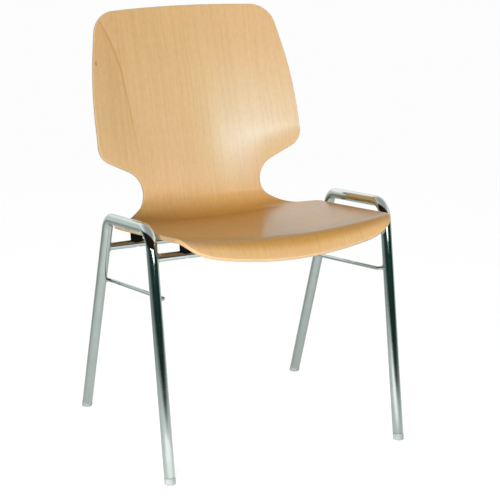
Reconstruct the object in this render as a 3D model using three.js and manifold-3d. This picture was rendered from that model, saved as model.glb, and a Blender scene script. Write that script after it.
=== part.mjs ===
// Stacking chair: a moulded beech plywood shell on two bent steel tube side frames.
// Millimetres, +Z up, the sitter faces -Y, X is across the chair, the floor is Z = 0.
import * as THREE from "three";
import { mergeVertices } from "three/addons/utils/BufferGeometryUtils.js";
import Module from "manifold-3d";

const wasm = await Module();
wasm.setup();

// ---- clearances -------------------------------------------------------------
const GAP = 0.3;                 // left between touching pieces

// ---- side frames ------------------------------------------------------------
const TUBE_R = 11;               // 22 mm tube
const TUBE_WALL = 2;
const FRAME_X = 254.5;           // centre line of each side frame
const FOOT_FRONT_Y = -230;       // where the leg centre lines meet the floor
const FOOT_REAR_Y = 230;
const CORNER_FRONT = [-153, 483];  // [y, z] where leg and rail centre lines cross
const CORNER_REAR = [67, 457];
const BEND_R = 36;
const TUBE_SIDES = 18;
const BEND_STEPS = 7;
const TUBE_END_Z = 13;           // the legs stop here, on the glides

// ---- cross tubes ------------------------------------------------------------
const BAR_R = 8;
const BAR_WALL = 1.5;
const BAR_FRONT_Z = 430;
const BAR_REAR_Z = 391;

// ---- side rods --------------------------------------------------------------
const ROD_R = 4;
const ROD_X = 235.5;
const ROD_FRONT_Z = 351;         // height of the straight run at its two bends
const ROD_REAR_Z = 313.5;
const ROD_FRONT_SET_IN = 4;      // how far each bend stops short of the leg
const ROD_REAR_SET_IN = 12;
const ROD_END_RISE = 3;          // the ends turn up a little as they turn out to the legs
const ROD_BEND_R = 9;
const ROD_SIDES = 12;

// ---- shell: side profile [y, z] of the upper face at the middle --------------
const PLY = 9.5;
const LIP_END = [-246, 440.5];
const CROWN = [-227, 461];
const CROWN_R = 40;
const HEEL = [158, 417];         // where seat and back planes cross
const HEEL_R = 54;
const BACK_TOP = [286.5, 834.5];
const DISH_FRONT = 21;           // rise of the sides over the middle, at DISH_AT
const DISH_SEAT = 13.5;
const DISH_BACK = 40;
const DISH_AT = 240;

// ---- shell: flat outline, half width against length along the profile --------
const FRONT_HALF = 185;
const FRONT_CORNER_R = 102;
const SHOULDER = [227.5, 18.5];
const SHOULDER_R = 100;
const SEAT_SIDE = [229.5, 111];
const SEAT_REAR = [238, 343];
const SEAT_REAR_R = 34;
const WAIST = [97, 472];
const WAIST_R = 55;
const BACK_LOW = [233.5, 534.5];
const BACK_LOW_R = 38;
const BACK_BULGE = 13.5;
const TOP_HALF = 200;
const TOP_CORNER_R = 49;
const TOP_BOW = 12.5;
const FRONT_BOW = 19.5;
const FRONT_BOW_REACH = 120;
const SHELL_COLUMNS = 12;

// ---- fixings ----------------------------------------------------------------
const FIXING_X = 185;
const SCREW_R = 3;
const HOLE_R = SCREW_R + GAP;
const INSERT_R = 5;
const INSERT_LENGTH = 6.6;
const INSERT_HOLE_DEPTH = 7.2;
const SPACER_R = 12.5;
const SPACER_SKIRT = 4;          // how far a spacer reaches down round its tube
const ACCESS_R = 5.3;            // hole in the tube's lower wall that lets the screw head in
const WASHER_R = 4.6;
const WASHER_TOP = 4.2;          // the washer bears inside the tube, this far over its axis
const WASHER_THICKNESS = 1;
const HEAD_R = 4.4;
const HEAD_HEIGHT = 3.2;

// ---- glides -----------------------------------------------------------------
const GLIDE_R = 11;
const GLIDE_PIN_LENGTH = 20;
const GLIDE_EDGE = 1;

// The whole depth is centred on Y = 0 by this shift.
const DEPTH_SHIFT = -20;

const chrome = () => new THREE.MeshStandardMaterial({ color: 0xb9c2bd, roughness: 0.08, metalness: 1 });
const beech = () => new THREE.MeshStandardMaterial({ color: 0xd9b483, roughness: 0.35, metalness: 0 });
const blackPlastic = () => new THREE.MeshStandardMaterial({ color: 0x0e1214, roughness: 0.5, metalness: 0 });
const palePlastic = () => new THREE.MeshStandardMaterial({ color: 0xd9dcd6, roughness: 0.45, metalness: 0 });
const zinc = () => new THREE.MeshStandardMaterial({ color: 0xa7a9a6, roughness: 0.35, metalness: 1 });

// ---- solids -----------------------------------------------------------------
function toSolid(geometry) {
  const bare = geometry.clone();
  bare.deleteAttribute("normal");
  bare.deleteAttribute("uv");
  const merged = mergeVertices(bare, 1e-4);
  const mesh = new wasm.Mesh({
    numProp: 3,
    vertProperties: new Float32Array(merged.attributes.position.array),
    triVerts: new Uint32Array(merged.index.array),
  });
  return new wasm.Manifold(mesh);
}

function fromSolid(solid) {
  const mesh = solid.getMesh();
  const geometry = new THREE.BufferGeometry();
  geometry.setAttribute("position", new THREE.BufferAttribute(new Float32Array(mesh.vertProperties), 3));
  geometry.setIndex(Array.from(mesh.triVerts));
  geometry.computeVertexNormals();
  return geometry;
}

function placed(geometry, matrix) {
  const copy = geometry.clone();
  copy.applyMatrix4(matrix);
  return copy;
}

function box(width, depth, height, x, y, z) {
  const geometry = new THREE.BoxGeometry(width, depth, height);
  geometry.translate(x, y, z);
  return geometry;
}

// A turned piece about Z from [radius, z] points, bottom to top on the outside.
function turned(points, sides) {
  const geometry = new THREE.LatheGeometry(points.map(([r, z]) => new THREE.Vector2(r, z)), sides);
  geometry.rotateX(Math.PI / 2);
  return geometry;
}

function rodZ(radius, z0, z1, sides) {
  return turned([[0, z0], [radius, z0], [radius, z1], [0, z1]], sides);
}

// ---- bent lines -------------------------------------------------------------
// Replaces each inner corner of a polyline by an arc of the given radius.
function filletPoints(vertices, radii, steps) {
  const points = [vertices[0].clone()];
  for (let i = 1; i < vertices.length - 1; i += 1) {
    const toPrevious = vertices[i - 1].clone().sub(vertices[i]);
    const toNext = vertices[i + 1].clone().sub(vertices[i]);
    const lengthPrevious = toPrevious.length();
    const lengthNext = toNext.length();
    toPrevious.normalize();
    toNext.normalize();
    const angle = Math.acos(toPrevious.dot(toNext));
    const reach = Math.min(radii[i] / Math.tan(angle / 2), 0.49 * Math.min(lengthPrevious, lengthNext));
    const radius = reach * Math.tan(angle / 2);
    const bisector = toPrevious.clone().add(toNext).normalize();
    const centre = vertices[i].clone().addScaledVector(bisector, radius / Math.sin(angle / 2));
    const start = vertices[i].clone().addScaledVector(toPrevious, reach).sub(centre).normalize();
    const end = vertices[i].clone().addScaledVector(toNext, reach).sub(centre).normalize();
    const turn = Math.acos(THREE.MathUtils.clamp(start.dot(end), -1, 1));
    for (let k = 0; k <= steps; k += 1) {
      const a = Math.sin(turn * (1 - k / steps)) / Math.sin(turn);
      const b = Math.sin(turn * (k / steps)) / Math.sin(turn);
      const ray = start.clone().multiplyScalar(a).addScaledVector(end, b);
      points.push(centre.clone().addScaledVector(ray, radius));
    }
  }
  points.push(vertices[vertices.length - 1].clone());
  return points;
}

// A curve whose even steps fall on the given stations, so bends are finer than straights.
class StationCurve extends THREE.Curve {
  constructor(stations) {
    super();
    this.stations = stations;
  }
  getUtoTmapping(u) {
    return u;
  }
  getPoint(t, target = new THREE.Vector3()) {
    const last = this.stations.length - 1;
    const place = THREE.MathUtils.clamp(t, 0, 1) * last;
    const i = Math.min(Math.floor(place), last - 1);
    return target.lerpVectors(this.stations[i], this.stations[i + 1], place - i);
  }
  getTangent(t, target = new THREE.Vector3()) {
    const last = this.stations.length - 1;
    const i = Math.round(t * last);
    const before = this.stations[Math.max(i - 1, 0)];
    const after = this.stations[Math.min(i + 1, last)];
    const incoming = this.stations[i].clone().sub(before).normalize();
    const outgoing = after.clone().sub(this.stations[i]).normalize();
    return target.copy(incoming).add(outgoing).normalize();
  }
}

function ring(radius, sides, clockwise) {
  const points = [];
  for (let i = 0; i < sides; i += 1) {
    const a = (clockwise ? -1 : 1) * 2 * Math.PI * (i + 0.5) / sides;
    points.push(new THREE.Vector2(radius * Math.cos(a), radius * Math.sin(a)));
  }
  return points;
}

// A round tube or rod swept along stations; bore 0 makes it solid.
function sweptTube(stations, radius, bore, sides) {
  const section = new THREE.Shape(ring(radius, sides, false));
  if (bore > 0) {
    section.holes.push(new THREE.Path(ring(bore, sides, true)));
  }
  return new THREE.ExtrudeGeometry(section, {
    steps: stations.length - 1,
    curveSegments: 1,
    bevelEnabled: false,
    extrudePath: new StationCurve(stations),
  });
}

// ---- side frame geometry ----------------------------------------------------
const onFrame = (y, z) => new THREE.Vector3(0, y, z);

function legPoint(foot, corner, z) {
  const t = z / corner[1];
  return [foot + (corner[0] - foot) * t, z];
}

const frontLegAt = (z) => legPoint(FOOT_FRONT_Y, CORNER_FRONT, z);
const rearLegAt = (z) => legPoint(FOOT_REAR_Y, CORNER_REAR, z);

function frameStations(endZ) {
  const vertices = [
    onFrame(...rearLegAt(endZ)),
    onFrame(...CORNER_REAR),
    onFrame(...CORNER_FRONT),
    onFrame(...frontLegAt(endZ)),
  ];
  return filletPoints(vertices, [0, BEND_R, BEND_R, 0], BEND_STEPS);
}

function frameTube(side, radius, bore, endZ) {
  const geometry = sweptTube(frameStations(endZ), radius, bore, TUBE_SIDES);
  geometry.translate(side * FRAME_X, 0, 0);
  return geometry;
}

const clearFrames = toSolid(frameTube(-1, TUBE_R + GAP, 0, TUBE_END_Z))
  .add(toSolid(frameTube(1, TUBE_R + GAP, 0, TUBE_END_Z)));

// ---- shell geometry ---------------------------------------------------------
function polylineLengths(points) {
  const lengths = [0];
  for (let i = 1; i < points.length; i += 1) {
    lengths.push(lengths[i - 1] + points[i].distanceTo(points[i - 1]));
  }
  return lengths;
}

const toVectors = (pairs) => pairs.map(([a, b]) => new THREE.Vector3(a, b, 0));
const profile = filletPoints(toVectors([LIP_END, CROWN, HEEL, BACK_TOP]), [0, CROWN_R, HEEL_R, 0], 24);
const profileLengths = polylineLengths(profile);
const SHELL_LENGTH = profileLengths[profileLengths.length - 1];

// Upper-face profile at length s: position and unit tangent, run on straight past both ends.
function profileAt(s) {
  let i = 1;
  while (i < profile.length - 1 && profileLengths[i] < s) {
    i += 1;
  }
  const a = profile[i - 1];
  const b = profile[i];
  const t = (s - profileLengths[i - 1]) / (profileLengths[i] - profileLengths[i - 1]);
  return { y: a.x + (b.x - a.x) * t, z: a.y + (b.y - a.y) * t };
}

function profileTangent(s) {
  const step = 4;
  const a = profileAt(s - step);
  const b = profileAt(s + step);
  const length = Math.hypot(b.y - a.y, b.z - a.z);
  return { y: (b.y - a.y) / length, z: (b.z - a.z) / length };
}

const outline = filletPoints(toVectors([
  [0, 0],
  [FRONT_HALF, 0],
  SHOULDER,
  SEAT_SIDE,
  SEAT_REAR,
  WAIST,
  BACK_LOW,
  [(BACK_LOW[0] + TOP_HALF) / 2 + BACK_BULGE, (BACK_LOW[1] + SHELL_LENGTH) / 2],
  [TOP_HALF, SHELL_LENGTH],
  [0, SHELL_LENGTH],
]), [0, FRONT_CORNER_R, SHOULDER_R, 40, SEAT_REAR_R, WAIST_R, BACK_LOW_R, 900, TOP_CORNER_R, 0], 20);

function halfWidthAt(s) {
  let i = 2;
  while (i < outline.length - 2 && outline[i].y < s) {
    i += 1;
  }
  const a = outline[i - 1];
  const b = outline[i];
  const t = b.y > a.y ? (s - a.y) / (b.y - a.y) : 1;
  return a.x + (b.x - a.x) * THREE.MathUtils.clamp(t, 0, 1);
}

// A point of the shell at x and pattern length s, depth below the upper face.
function shellPoint(x, s, depth) {
  const topReach = THREE.MathUtils.clamp((s - BACK_LOW[1]) / (SHELL_LENGTH - BACK_LOW[1]), 0, 1);
  const frontReach = THREE.MathUtils.clamp(1 - s / FRONT_BOW_REACH, 0, 1);
  const run = s + TOP_BOW * topReach * (1 - (x / TOP_HALF) ** 2)
    - FRONT_BOW * frontReach * (1 - (x / FRONT_HALF) ** 2);
  const at = profileAt(run);
  const tangent = profileTangent(run);
  const seatDish = THREE.MathUtils.lerp(DISH_FRONT, DISH_SEAT, THREE.MathUtils.clamp(s / 300, 0, 1));
  const dish = THREE.MathUtils.lerp(seatDish, DISH_BACK, THREE.MathUtils.smoothstep(s, 400, 580));
  const lift = dish * (x / DISH_AT) ** 2 - depth;
  return new THREE.Vector3(x, at.y - tangent.z * lift, at.z + tangent.y * lift);
}

// Row positions: closer where the outline or the profile turns quickly.
function shellRows() {
  const rows = [0];
  let s = 0;
  while (s < SHELL_LENGTH) {
    const turn = Math.abs(profileTangent(s + 8).z - profileTangent(s).z);
    const slope = Math.abs(halfWidthAt(Math.min(s + 6, SHELL_LENGTH)) - halfWidthAt(s)) / 6;
    const toEnd = SHELL_LENGTH - s;
    let step = 24;
    if (turn > 0.04) {
      step = 11;
    }
    if (slope > 0.25) {
      step = Math.min(step, 11);
    }
    if (slope > 0.9) {
      step = 5;
    }
    if (s < 12 || toEnd < 14) {
      step = 3;
    } else if (toEnd < 56) {
      step = 8;
    }
    s += step;
    if (SHELL_LENGTH - s < 2) {
      s = SHELL_LENGTH;
    }
    rows.push(Math.min(s, SHELL_LENGTH));
  }
  return rows;
}

function shellGeometry(thickness) {
  const rows = shellRows();
  const columns = SHELL_COLUMNS;
  const positions = [];
  const index = [];
  const at = (face, row, column) => (face * rows.length + row) * (columns + 1) + column;
  for (const depth of [0, thickness]) {
    for (const s of rows) {
      const half = halfWidthAt(s);
      for (let c = 0; c <= columns; c += 1) {
        const p = shellPoint(half * (2 * c / columns - 1), s, depth);
        positions.push(p.x, p.y, p.z);
      }
    }
  }
  const quad = (a, b, c, d) => index.push(a, b, c, a, c, d);
  const lastRow = rows.length - 1;
  for (let r = 0; r < lastRow; r += 1) {
    for (let c = 0; c < columns; c += 1) {
      quad(at(0, r, c), at(0, r, c + 1), at(0, r + 1, c + 1), at(0, r + 1, c));
      quad(at(1, r, c), at(1, r + 1, c), at(1, r + 1, c + 1), at(1, r, c + 1));
    }
    quad(at(0, r, 0), at(0, r + 1, 0), at(1, r + 1, 0), at(1, r, 0));
    quad(at(0, r, columns), at(1, r, columns), at(1, r + 1, columns), at(0, r + 1, columns));
  }
  for (let c = 0; c < columns; c += 1) {
    quad(at(0, 0, c), at(1, 0, c), at(1, 0, c + 1), at(0, 0, c + 1));
    quad(at(0, lastRow, c), at(0, lastRow, c + 1), at(1, lastRow, c + 1), at(1, lastRow, c));
  }
  const geometry = new THREE.BufferGeometry();
  geometry.setAttribute("position", new THREE.Float32BufferAttribute(positions, 3));
  geometry.setIndex(index);
  geometry.computeVertexNormals();
  return geometry;
}

const shellBlank = toSolid(shellGeometry(PLY));
const shellWithGap = toSolid(shellGeometry(PLY + GAP));

// ---- fixings ----------------------------------------------------------------
// Each fixing stands square to the seat, its axis through the centre of its cross tube.
const PAN_SLOPE = Math.atan2(CROWN[1] - HEEL[1], HEEL[0] - CROWN[0]);

const rows = {
  front: frontLegAt(BAR_FRONT_Z),
  rear: rearLegAt(BAR_REAR_Z),
};

function fixingMatrix(x, row) {
  const matrix = new THREE.Matrix4().makeRotationX(-PAN_SLOPE);
  matrix.setPosition(x, row[0], row[1]);
  return matrix;
}

// Height of the shell's underside over the tube axis, measured along the fixing.
function undersideHeight(x, row) {
  const inverse = fixingMatrix(x, row).invert();
  let best = Infinity;
  let height = 0;
  for (let s = 0; s < SEAT_REAR[1]; s += 0.5) {
    const p = shellPoint(x, s, PLY).applyMatrix4(inverse);
    if (Math.abs(p.y) < best) {
      best = Math.abs(p.y);
      height = p.z;
    }
  }
  return height;
}

function barSolid(row, radius, bore) {
  const reach = FRAME_X;
  const stations = [new THREE.Vector3(-reach, ...row), new THREE.Vector3(reach, ...row)];
  return toSolid(sweptTube(stations, radius, bore, 24));
}

function crossBar(row) {
  let bar = barSolid(row, BAR_R, BAR_R - BAR_WALL).subtract(clearFrames);
  for (const side of [-1, 1]) {
    const matrix = fixingMatrix(side * FIXING_X, row);
    bar = bar.subtract(toSolid(placed(rodZ(HOLE_R, 0, 20, 12), matrix)));
    bar = bar.subtract(toSolid(placed(rodZ(ACCESS_R, -20, 0, 16), matrix)));
  }
  return fromSolid(bar);
}

function spacer(x, row) {
  const top = undersideHeight(x, row) + 5;
  const matrix = fixingMatrix(x, row);
  const bottom = BAR_R - SPACER_SKIRT;
  return fromSolid(toSolid(placed(rodZ(SPACER_R, bottom, top, 24), matrix))
    .subtract(barSolid(row, BAR_R + GAP, 0))
    .subtract(shellWithGap)
    .subtract(toSolid(placed(rodZ(HOLE_R, -20, 40, 12), matrix))));
}

function washer(x, row) {
  const base = WASHER_TOP - WASHER_THICKNESS;
  const points = [
    [HOLE_R, base],
    [WASHER_R, base],
    [WASHER_R, WASHER_TOP],
    [HOLE_R, WASHER_TOP],
    [HOLE_R, base],
  ];
  return placed(turned(points, 16), fixingMatrix(x, row));
}

function screw(x, row) {
  const tip = undersideHeight(x, row) + INSERT_LENGTH - 1;
  const seat = WASHER_TOP - WASHER_THICKNESS - GAP;
  const socketDepth = 1.8;
  const points = [
    [0, seat - HEAD_HEIGHT],
    [HEAD_R - 1, seat - HEAD_HEIGHT],
    [HEAD_R, seat - HEAD_HEIGHT + 1],
    [HEAD_R, seat],
    [SCREW_R, seat],
    [SCREW_R, tip - 1],
    [SCREW_R - 1, tip],
    [0, tip],
  ];
  const blank = toSolid(turned(points, 12));
  const socket = toSolid(rodZ(2, seat - HEAD_HEIGHT - 1, seat - HEAD_HEIGHT + socketDepth, 6));
  return placed(fromSolid(blank.subtract(socket)), fixingMatrix(x, row));
}

function insert(x, row) {
  const base = undersideHeight(x, row) + GAP;
  const top = base + INSERT_LENGTH;
  const points = [
    [HOLE_R, base],
    [INSERT_R, base],
    [INSERT_R, top],
    [HOLE_R, top],
    [HOLE_R, base],
  ];
  return placed(turned(points, 14), fixingMatrix(x, row));
}

function seatShell() {
  let shell = shellBlank;
  for (const row of Object.values(rows)) {
    for (const side of [-1, 1]) {
      const x = side * FIXING_X;
      const base = undersideHeight(x, row);
      const hole = rodZ(INSERT_R + GAP, base - 5, base + INSERT_HOLE_DEPTH, 14);
      shell = shell.subtract(toSolid(placed(hole, fixingMatrix(x, row))));
    }
  }
  return fromSolid(shell);
}

// ---- side rods --------------------------------------------------------------
function sideRod(side) {
  const front = frontLegAt(ROD_FRONT_Z + ROD_END_RISE);
  const rear = rearLegAt(ROD_REAR_Z + ROD_END_RISE);
  const vertices = [
    new THREE.Vector3(side * FRAME_X, front[0], front[1]),
    new THREE.Vector3(side * ROD_X, front[0] + ROD_FRONT_SET_IN, ROD_FRONT_Z),
    new THREE.Vector3(side * ROD_X, rear[0] - ROD_REAR_SET_IN, ROD_REAR_Z),
    new THREE.Vector3(side * FRAME_X, rear[0] + 5, rear[1]),
  ];
  const stations = filletPoints(vertices, [0, ROD_BEND_R, ROD_BEND_R, 0], 5);
  return fromSolid(toSolid(sweptTube(stations, ROD_R, 0, ROD_SIDES)).subtract(clearFrames));
}

// ---- glides -----------------------------------------------------------------
// A turned plug on the leg's own axis, cut off flat at the floor.
function glide(side, foot, corner) {
  const lean = Math.atan2(corner[0] - foot, corner[1]);
  const end = TUBE_END_Z / Math.cos(lean);
  const pinR = TUBE_R - TUBE_WALL - GAP;
  const points = [
    [0, -12],
    [GLIDE_R, -12],
    [GLIDE_R, end - GAP - GLIDE_EDGE],
    [GLIDE_R - GLIDE_EDGE, end - GAP],
    [pinR, end - GAP],
    [pinR, end + GLIDE_PIN_LENGTH - 2],
    [pinR - 2, end + GLIDE_PIN_LENGTH],
    [0, end + GLIDE_PIN_LENGTH],
  ];
  const matrix = new THREE.Matrix4().makeRotationX(-lean);
  matrix.setPosition(side * FRAME_X, foot, 0);
  const plug = toSolid(placed(turned(points, 20), matrix));
  const below = toSolid(box(80, 80, 60, side * FRAME_X, foot, -30));
  return fromSolid(plug.subtract(below));
}

// ---- assembly ---------------------------------------------------------------
const chair = new THREE.Group();
chair.name = "stacking_chair";
chair.position.y = DEPTH_SHIFT;

function addPiece(name, geometry, material) {
  const mesh = new THREE.Mesh(geometry, material);
  mesh.name = name;
  chair.add(mesh);
}

addPiece("seat_shell", seatShell(), beech());

for (const [label, side] of [["left", 1], ["right", -1]]) {
  addPiece(`side_frame_${label}`, frameTube(side, TUBE_R, TUBE_R - TUBE_WALL, TUBE_END_Z), chrome());
  addPiece(`side_rod_${label}`, sideRod(side), chrome());
  addPiece(`glide_front_${label}`, glide(side, FOOT_FRONT_Y, CORNER_FRONT), palePlastic());
  addPiece(`glide_rear_${label}`, glide(side, FOOT_REAR_Y, CORNER_REAR), palePlastic());
}

for (const [place, row] of Object.entries(rows)) {
  addPiece(`cross_tube_${place}`, crossBar(row), chrome());
  for (const [label, side] of [["left", 1], ["right", -1]]) {
    const x = side * FIXING_X;
    addPiece(`spacer_${place}_${label}`, spacer(x, row), blackPlastic());
    addPiece(`screw_${place}_${label}`, screw(x, row), zinc());
    addPiece(`washer_${place}_${label}`, washer(x, row), zinc());
    addPiece(`insert_${place}_${label}`, insert(x, row), zinc());
  }
}

export default chair;
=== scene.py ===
"""Looks of the stacking chair: beech plywood shell on chromed steel tube, in the CAD frame."""

import math

import bmesh
import bpy
import numpy as np
from mathutils import Matrix, Vector
from mathutils.bvhtree import BVHTree


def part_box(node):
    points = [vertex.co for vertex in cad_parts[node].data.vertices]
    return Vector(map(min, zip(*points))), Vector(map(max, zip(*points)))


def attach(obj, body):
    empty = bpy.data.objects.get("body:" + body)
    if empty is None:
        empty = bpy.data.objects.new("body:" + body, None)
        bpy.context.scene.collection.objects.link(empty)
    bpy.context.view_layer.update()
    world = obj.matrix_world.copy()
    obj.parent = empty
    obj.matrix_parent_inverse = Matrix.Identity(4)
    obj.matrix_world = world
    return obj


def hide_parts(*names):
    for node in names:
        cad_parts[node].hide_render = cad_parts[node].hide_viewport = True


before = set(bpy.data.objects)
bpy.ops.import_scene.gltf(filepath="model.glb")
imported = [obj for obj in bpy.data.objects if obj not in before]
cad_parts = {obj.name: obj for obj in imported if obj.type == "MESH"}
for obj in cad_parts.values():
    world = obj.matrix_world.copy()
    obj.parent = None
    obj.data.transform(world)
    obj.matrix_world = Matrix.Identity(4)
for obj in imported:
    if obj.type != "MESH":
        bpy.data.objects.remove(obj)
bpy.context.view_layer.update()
scene = bpy.context.scene

# ---- driving sizes, the same as the CAD model's, in millimetres before the shift to the frame ----
MM = 0.001
DEPTH_SHIFT = -20.0
CLEAR = 0.3

# Side frames: where the legs' axes meet the floor, and the y, z corners of the bent tube.
TUBE_R = 11.0
TUBE_WALL = 2.0
TUBE_CHAMFER = 0.4
FOOT_FRONT_Y = -230.0
FOOT_REAR_Y = 230.0
CORNER_FRONT = (-153.0, 483.0)
CORNER_REAR = (67.0, 457.0)
BEND_R = 36.0
TUBE_END_Z = 13.0

# Cross tubes under the seat.
BAR_R = 8.0
BAR_WALL = 1.5
BAR_FRONT_Z = 430.0
BAR_REAR_Z = 391.0

# Side rods: where the straight part lies, and how its ends set in, rise and run on to the legs.
ROD_R = 4.0
ROD_X = 235.5
ROD_FRONT_Z = 351.0
ROD_REAR_Z = 313.5
ROD_FRONT_SET_IN = 4.0
ROD_REAR_SET_IN = 12.0
ROD_REAR_RUN_ON = 5.0
ROD_END_RISE = 3.0
ROD_BEND_R = 9.0

# Shell profile: its y, z corners from the front lip to the top of the back.
PLY = 9.5
EDGE_ROUND = 1.5
LIP_END = (-246.0, 440.5)
CROWN = (-227.0, 461.0)
CROWN_R = 40.0
HEEL = (158.0, 417.0)
HEEL_R = 54.0
BACK_TOP = (286.5, 834.5)

# Dish: how far the sides stand up at DISH_AT from the middle, and where along the shell it changes.
DISH_FRONT = 21.0
DISH_SEAT = 13.5
DISH_BACK = 40.0
DISH_AT = 240.0
DISH_SEAT_FROM = 300.0
DISH_BACK_START = 400.0
DISH_BACK_RUN = 180.0

# Shell outline: half widths x at lengths s along the flat pattern, and the radius of each corner.
FRONT_HALF = 185.0
FRONT_CORNER_R = 102.0
SHOULDER = (227.5, 18.5)
SHOULDER_R = 100.0
SEAT_SIDE = (229.5, 111.0)
SEAT_SIDE_R = 40.0
SEAT_REAR = (238.0, 343.0)
SEAT_REAR_R = 34.0
WAIST = (97.0, 472.0)
WAIST_R = 55.0
BACK_LOW = (233.5, 534.5)
BACK_LOW_R = 38.0
BACK_BULGE = 13.5
BACK_SIDE_R = 900.0
TOP_HALF = 200.0
TOP_CORNER_R = 49.0
TOP_BOW = 12.5
FRONT_BOW = 19.5
FRONT_BOW_REACH = 120.0

# Fixings: each has a screw from below, a washer, a spacer and an insert.
FIXING_X = 185.0
SCREW_R = 3.0
THREAD_DEPTH = 0.55
THREAD_PITCH = 1.0
HOLE_R = 3.3
ACCESS_R = 5.3
SPACER_R = 12.5
SPACER_SKIRT = 4.0
SPACER_FIT = 0.15
WASHER_R = 4.6
WASHER_TOP = 4.2
WASHER_LOW = WASHER_TOP - 1.0
HEAD_R = 4.4
HEAD_HEIGHT = 3.2
SOCKET_HALF = 1.73
INSERT_R = 5.0
INSERT_LENGTH = 6.6
KNURL = 0.22

# Glides: the rim on the floor, the shoulder under the tube's end, and the barbed pin inside it.
GLIDE_R = 11.0
GLIDE_RIM = 1.6
GLIDE_SHOULDER = 0.8
GLIDE_PIN_LENGTH = 20.0
GLIDE_BARBS = 4

# How finely the meshes are made.
SHELL_STEP = 4.5
SHELL_COLUMNS = 76
SHELL_RIM = 2.5
EDGE_TURNS = 5
EDGE_LEVELS = 9
TUBE_STEP = 2.2
TUBE_SIDES = 56
BAR_STOPS = 41
ROD_STEP = 1.4
ROD_SIDES = 36
# Edges turned more than this many degrees stay crisp, unless a piece says otherwise.
SHARP = 35.0

# The side frames' centre lines lie in the middle of their CAD nodes' boxes.
frame_low, frame_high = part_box("side_frame_left")
FRAME_X = (frame_low.x + frame_high.x) / 2 / MM

SIDES = (("left", 1), ("right", -1))


# ---- mesh helpers ---------------------------------------------------------------------------------
def unit(v):
    return v / np.linalg.norm(v)


def circle(sides):
    """Even angles round a ring."""
    return np.linspace(0, 2 * math.pi, sides, endpoint=False)


def to_frame(points):
    """From the driving sizes' millimetres to the frame's metres."""
    return (np.asarray(points, float) + (0.0, DEPTH_SHIFT, 0.0)) * MM


def make_piece(name, points, faces, material, node, sharp=SHARP, pattern=None):
    """A closed mesh piece from points in millimetres; edges turned more than sharp degrees stay crisp."""
    mesh = bpy.data.meshes.new(name)
    mesh.from_pydata(to_frame(points).tolist(), [], faces)
    mesh.validate()
    if pattern is not None:
        layer = mesh.attributes.new("pattern", "FLOAT_VECTOR", "POINT")
        layer.data.foreach_set("vector", (np.asarray(pattern, float) * MM).ravel())
    finish_mesh(mesh, sharp)
    mesh.materials.append(material)
    piece = bpy.data.objects.new(name, mesh)
    scene.collection.objects.link(piece)
    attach(piece, "root")
    if node:
        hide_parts(node)
    return piece


def finish_mesh(mesh, sharp=SHARP):
    """Turns the faces outward and shades them smooth, with edges over sharp degrees kept crisp."""
    bm = bmesh.new()
    bm.from_mesh(mesh)
    bmesh.ops.recalc_face_normals(bm, faces=bm.faces)
    for face in bm.faces:
        face.smooth = True
    limit = math.radians(sharp)
    for edge in bm.edges:
        edge.smooth = edge.is_manifold and edge.calc_face_angle(0.0) < limit
    bm.to_mesh(mesh)
    bm.free()


def loft(rings, wrap=False):
    """Points and faces over equal rings; wrap joins the last ring to the first, else the ends are shut."""
    count = len(rings[0])
    faces = []
    spans = len(rings) if wrap else len(rings) - 1
    for k in range(spans):
        a = k * count
        b = (k + 1) % len(rings) * count
        for i in range(count):
            j = (i + 1) % count
            faces.append((a + i, a + j, b + j, b + i))
    if not wrap:
        last = (len(rings) - 1) * count
        faces.append(tuple(range(count))[::-1])
        faces.append(tuple(range(last, last + count)))
    return np.concatenate(rings), faces


def fillet(vertices, radii, steps=40):
    """The polyline with each inner corner turned into an arc."""
    vertices = [np.asarray(v, float) for v in vertices]
    points = [vertices[0]]
    for i in range(1, len(vertices) - 1):
        back = vertices[i - 1] - vertices[i]
        ahead = vertices[i + 1] - vertices[i]
        shorter = min(np.linalg.norm(back), np.linalg.norm(ahead))
        back = unit(back)
        ahead = unit(ahead)
        angle = math.acos(back @ ahead)
        reach = min(radii[i] / math.tan(angle / 2), 0.49 * shorter)
        radius = reach * math.tan(angle / 2)
        centre = vertices[i] + unit(back + ahead) * radius / math.sin(angle / 2)
        start = unit(vertices[i] + back * reach - centre)
        end = unit(vertices[i] + ahead * reach - centre)
        turn = math.acos(min(start @ end, 1.0))
        for t in np.linspace(0, 1, steps + 1):
            ray = (start * math.sin(turn * (1 - t)) + end * math.sin(turn * t)) / math.sin(turn)
            points.append(centre + ray * radius)
    points.append(vertices[-1])
    return np.array(points)


def lengths_along(points):
    """The length along a line from its first point to each point."""
    return np.concatenate([[0.0], np.cumsum(np.linalg.norm(np.diff(points, axis=0), axis=1))])


def resample(points, spacing):
    """The same line with points at an even spacing, or a little less."""
    lengths = lengths_along(points)
    count = max(2, int(math.ceil(lengths[-1] / spacing)) + 1)
    at = np.linspace(0, lengths[-1], count)
    return np.stack([np.interp(at, lengths, points[:, i]) for i in range(points.shape[1])], axis=1)


def sweep_rings(path, radius, sides):
    """Rings of one radius square to a smooth path, without twist."""
    tangents = np.gradient(path, axis=0)
    tangents /= np.linalg.norm(tangents, axis=1)[:, None]
    # Any direction that isn't along the path will do to start from.
    side = unit(np.cross(tangents[0], (0.37, 0.61, 0.70)))
    angles = circle(sides)
    rings = []
    for point, tangent in zip(path, tangents):
        side = unit(side - tangent * (side @ tangent))
        up = np.cross(tangent, side)
        rings.append(point + radius * (np.outer(np.cos(angles), side) + np.outer(np.sin(angles), up)))
    return rings


def turned(levels, sides):
    """Level rings about Z from radius, height pairs; a radius may be an array with a value a side."""
    around = circle(sides)
    rings = []
    for radius, z in levels:
        rings.append(np.column_stack([
            radius * np.cos(around), radius * np.sin(around), np.full(sides, z),
        ]))
    return rings


def apply_matrix(points, matrix):
    m = np.array(matrix)
    return points @ m[:3, :3].T + m[:3, 3]


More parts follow.
